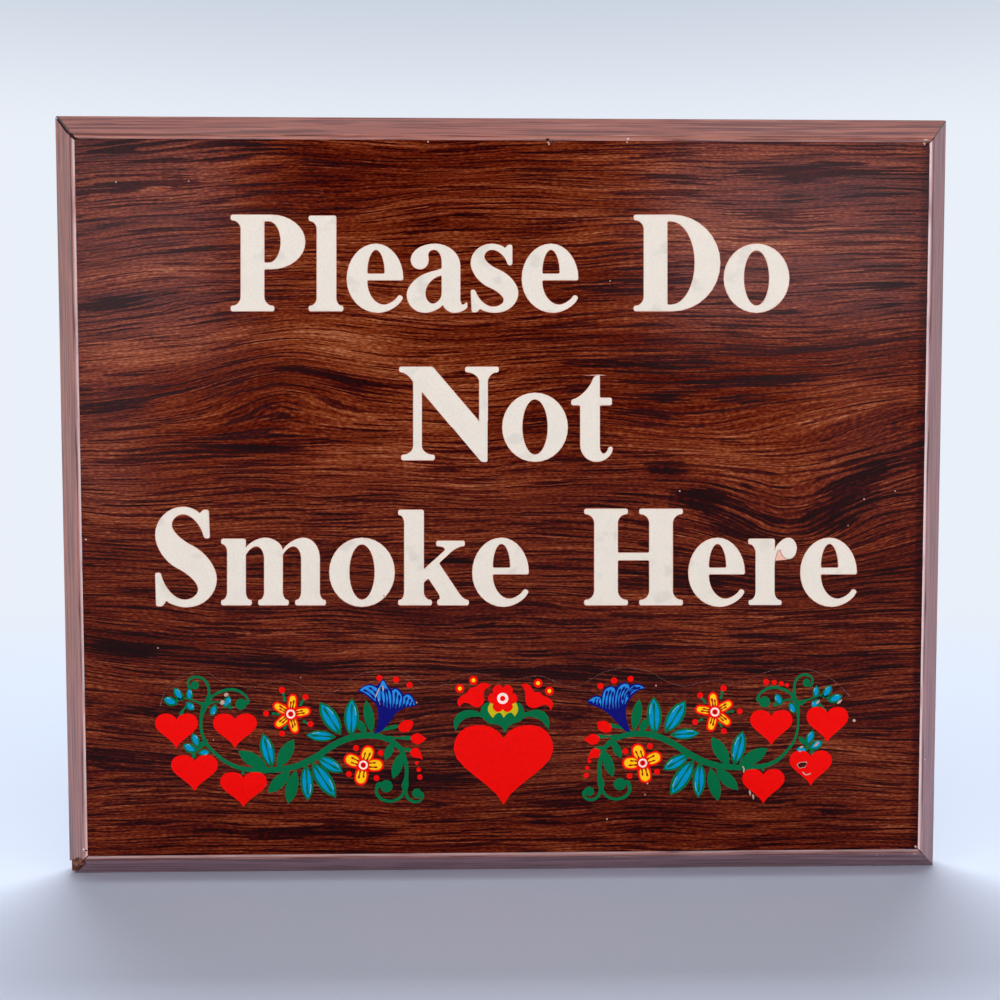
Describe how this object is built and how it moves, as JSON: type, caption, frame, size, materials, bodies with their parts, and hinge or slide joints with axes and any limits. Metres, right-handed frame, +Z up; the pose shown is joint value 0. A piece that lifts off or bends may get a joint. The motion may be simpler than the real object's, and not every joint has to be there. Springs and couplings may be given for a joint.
{
  "type": "no smoking sign",
  "caption": "Small wooden wall plaque sign with sloping edges, dark woodgrain face, cream lettering and a folk ornament of hearts and vines; it hangs on a keyhole slot.",
  "frame": {"origin": "middle of the back, in the plane that lies against the wall", "axes": "+X to the right of someone who reads the sign, +Y out of the back into the wall, so the front faces -Y, +Z up"},
  "size_m": [0.1778, 0.0127, 0.1524],
  "materials": {
    "board_core": "bare pressed wood board",
    "face_laminate": "dark rosewood grain print under a gloss coat",
    "edge_laminate": "paler woodgrain print under a satin coat",
    "print_ink": "flat printed fields in cream, red, green, blue and yellow"
  },
  "bodies": {
    "root": {"board": "board_core", "face_sheet": "face_laminate", "edge_strip_top": "edge_laminate", "edge_strip_right": "edge_laminate", "edge_strip_bottom": "edge_laminate", "edge_strip_left": "edge_laminate"}
  },
  "joints": []
}
